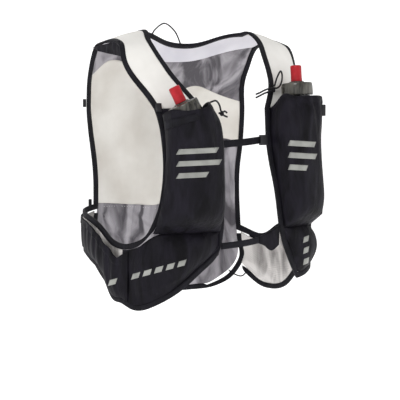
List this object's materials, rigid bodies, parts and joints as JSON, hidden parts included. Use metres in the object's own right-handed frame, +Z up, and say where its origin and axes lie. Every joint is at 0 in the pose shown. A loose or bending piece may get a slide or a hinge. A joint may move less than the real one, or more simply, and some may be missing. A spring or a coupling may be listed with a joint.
{
  "type": "running hydration vest",
  "caption": "Running vest kept in its worn form, with broad shoulder straps, mesh and woven back panels, gathered side pockets and front pockets that hold soft drinking flasks.",
  "frame": {"origin": "between the shoulders, level with the highest line of the shoulder straps and on the wearer's middle plane", "axes": "+Z up, -Y towards the front of the vest, +X towards the wearer's left"},
  "size_m": [0.3555, 0.2818, 0.4152],
  "materials": {
    "yoke_cloth": "matte woven",
    "strap_cloth": "matte woven",
    "panel_cloth": "matte woven",
    "sheer_mesh": "sheer mesh",
    "side_mesh": "sheer mesh",
    "stretch_cloth": "satin stretch knit",
    "edge_tape": "matte ribbed tape",
    "cord": "matte braid",
    "flask_film": "soft film",
    "cap_plastic": "moulded satin",
    "valve_silicone": "soft satin",
    "black_plastic": "moulded matte"
  },
  "bodies": {
    "vest": {"yoke": "yoke_cloth", "back_mesh_upper": "sheer_mesh", "back_panel": "panel_cloth", "back_mesh_lower": "sheer_mesh", "rear_pocket": "stretch_cloth", "shoulder_strap_right": "strap_cloth", "front_panel_right": "stretch_cloth", "shoulder_strap_left": "strap_cloth", "front_panel_left": "stretch_cloth", "flask_pocket_right": "stretch_cloth", "flask_pocket_left": "stretch_cloth", "flask_right": "flask_film", "flask_cap_right": "cap_plastic", "flask_left": "flask_film", "flask_cap_left": "cap_plastic", "side_mesh_right": "side_mesh", "side_pocket_right": "stretch_cloth", "lower_front_right": "stretch_cloth", "side_mesh_left": "side_mesh", "side_pocket_left": "stretch_cloth", "lower_front_left": "stretch_cloth", "neck_binding": "edge_tape", "back_binding": "edge_tape", "armhole_binding_right": "edge_tape", "front_binding_right": "edge_tape", "armhole_binding_left": "edge_tape", "front_binding_left": "edge_tape", "sternum_strap_anchor": "edge_tape", "sternum_strap_upper": "edge_tape", "sternum_slider": "black_plastic", "strap_anchor_left": "stretch_cloth", "sternum_strap_lower": "edge_tape", "tab_strap_right": "black_plastic", "tab_pocket_left": "black_plastic", "tab_back_upper": "black_plastic", "tab_back_lower": "black_plastic", "drawcord_right": "cord", "drawcord_right_tail_a": "cord", "drawcord_right_tail_b": "cord", "drawcord_left_loop": "cord", "drawcord_left_tail_a": "cord", "drawcord_left_tail_b": "cord", "nape_loop": "cord", "hem_cord": "cord", "drawcord_right_knot": "cord", "drawcord_left_knot": "cord"},
    "valve_right": {"bite_valve_right": "valve_silicone"},
    "valve_left": {"bite_valve_left": "valve_silicone"}
  },
  "joints": [
    {"name": "bite_valve_right_pull", "type": "slide", "parent": "vest", "child": "valve_right", "axis": [-0.3781, 0.216, 0.9002], "range_m": [0, 0.004]},
    {"name": "bite_valve_left_pull", "type": "slide", "parent": "vest", "child": "valve_left", "axis": [0, 0.0995, 0.995], "range_m": [0, 0.004]}
  ]
}
